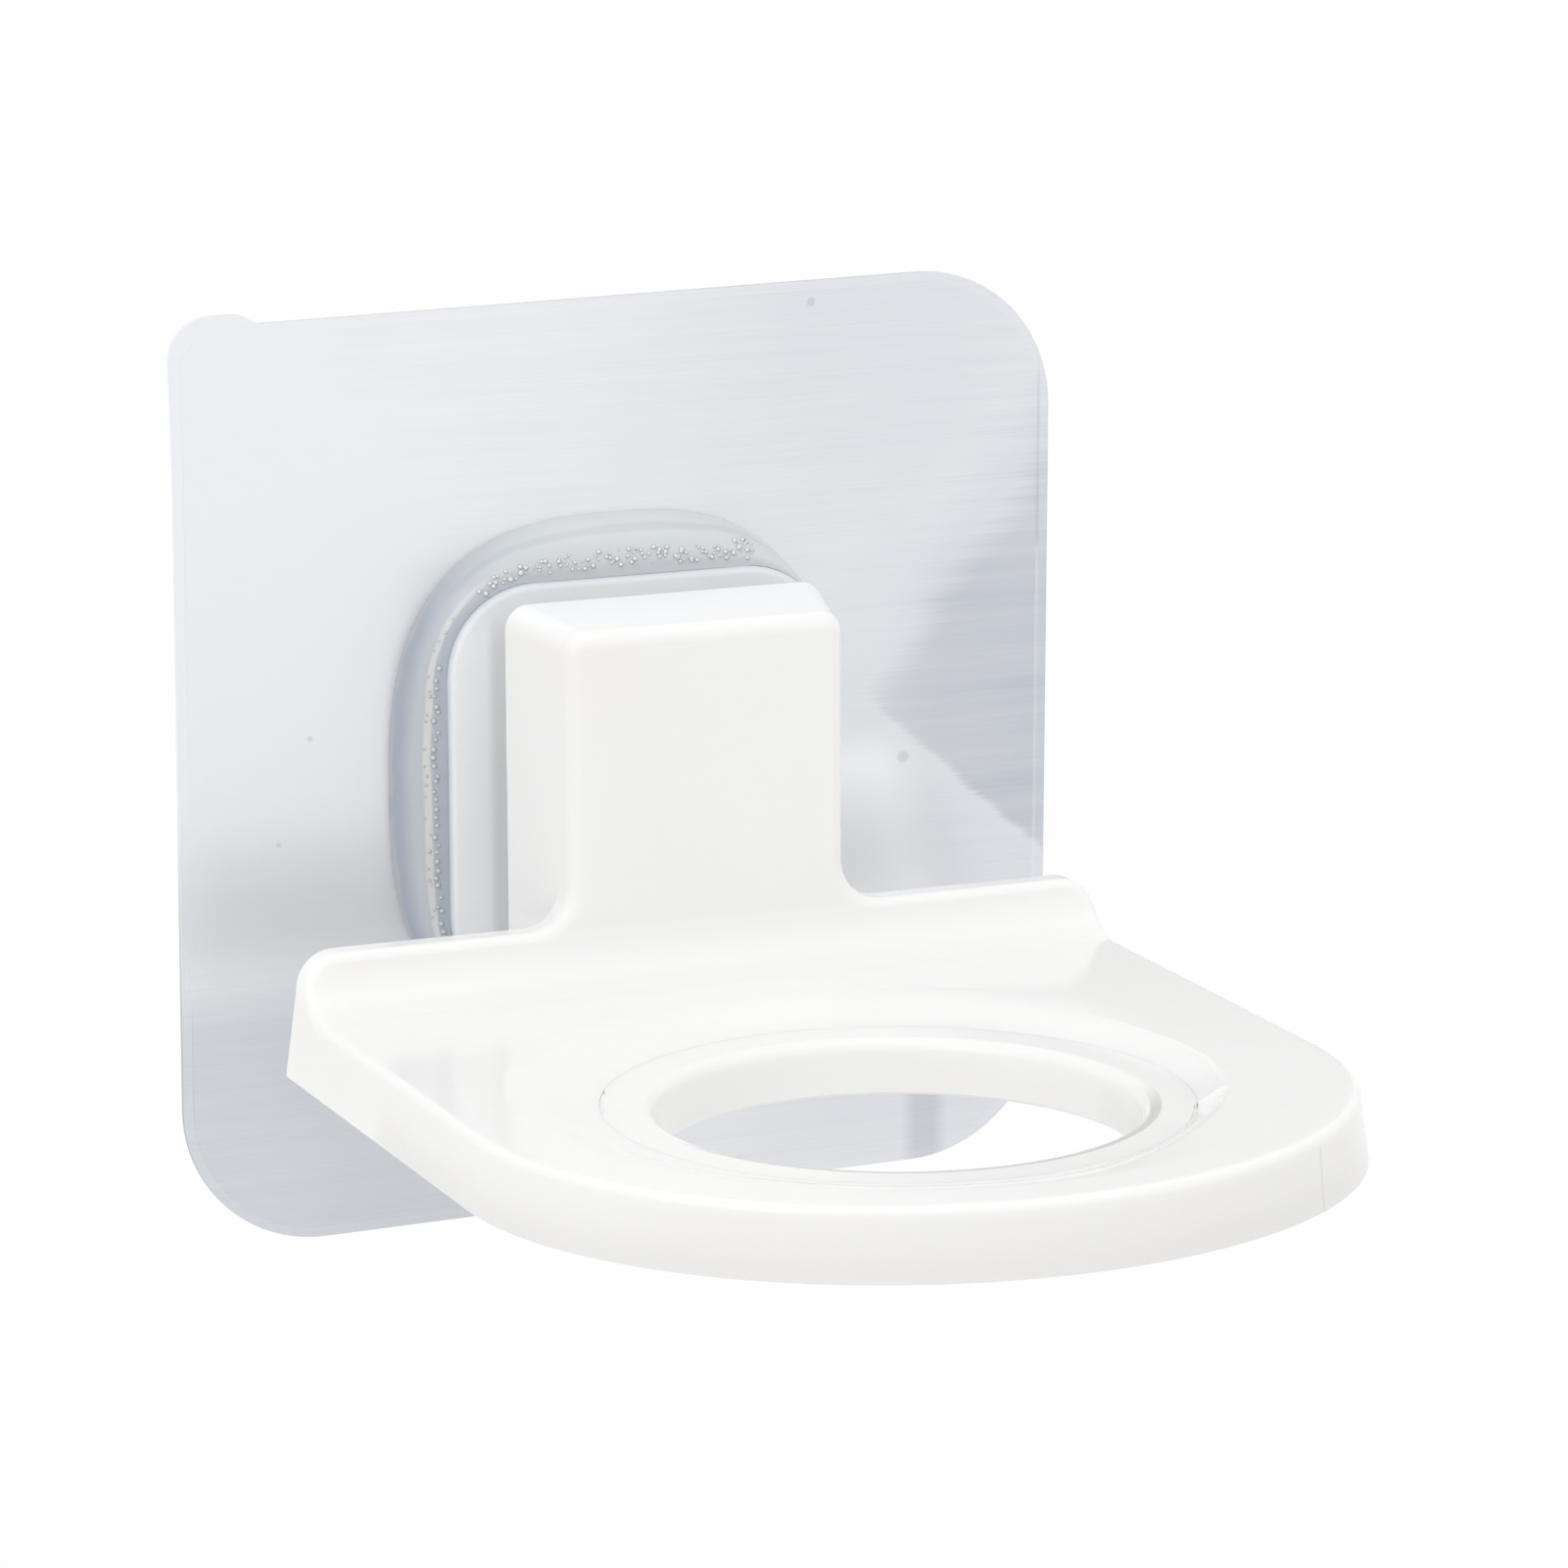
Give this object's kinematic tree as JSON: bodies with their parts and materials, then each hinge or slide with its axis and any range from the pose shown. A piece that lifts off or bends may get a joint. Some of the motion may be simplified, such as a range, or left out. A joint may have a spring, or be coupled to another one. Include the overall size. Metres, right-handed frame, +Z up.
{
  "type": "shower bottle holder",
  "caption": "Stick-on shower bottle holder: white shelf with a bottle hole and loose reducer ring, hung on a clear rail of a brushed wall pad.",
  "frame": {"origin": "middle of the pad's back face, where it sticks to the wall", "axes": "+X to the right seen from the room, +Y into the wall, +Z up"},
  "size_m": [0.0704, 0.0839, 0.0701],
  "materials": {
    "adhesive": "tacky gel",
    "clear_film": "clear gloss",
    "brushed_silver": "brushed",
    "clear_resin": "clear gloss",
    "clear_plastic": "clear gloss",
    "white_plastic": "gloss"
  },
  "bodies": {
    "pad": {"adhesive_layer": "adhesive", "carrier_film": "clear_film", "brushed_film": "brushed_silver", "resin_bead": "clear_resin", "rail_plate": "clear_plastic"},
    "bracket": {"bracket": "white_plastic"},
    "ring": {"reducer_ring": "white_plastic"}
  },
  "joints": [
    {"name": "bracket_lift", "type": "slide", "parent": "pad", "child": "bracket", "axis": [0, 0, 1], "range_m": [0, 0.034]},
    {"name": "ring_lift", "type": "slide", "parent": "bracket", "child": "ring", "axis": [0, 0, 1], "range_m": [0, 0.015]}
  ]
}
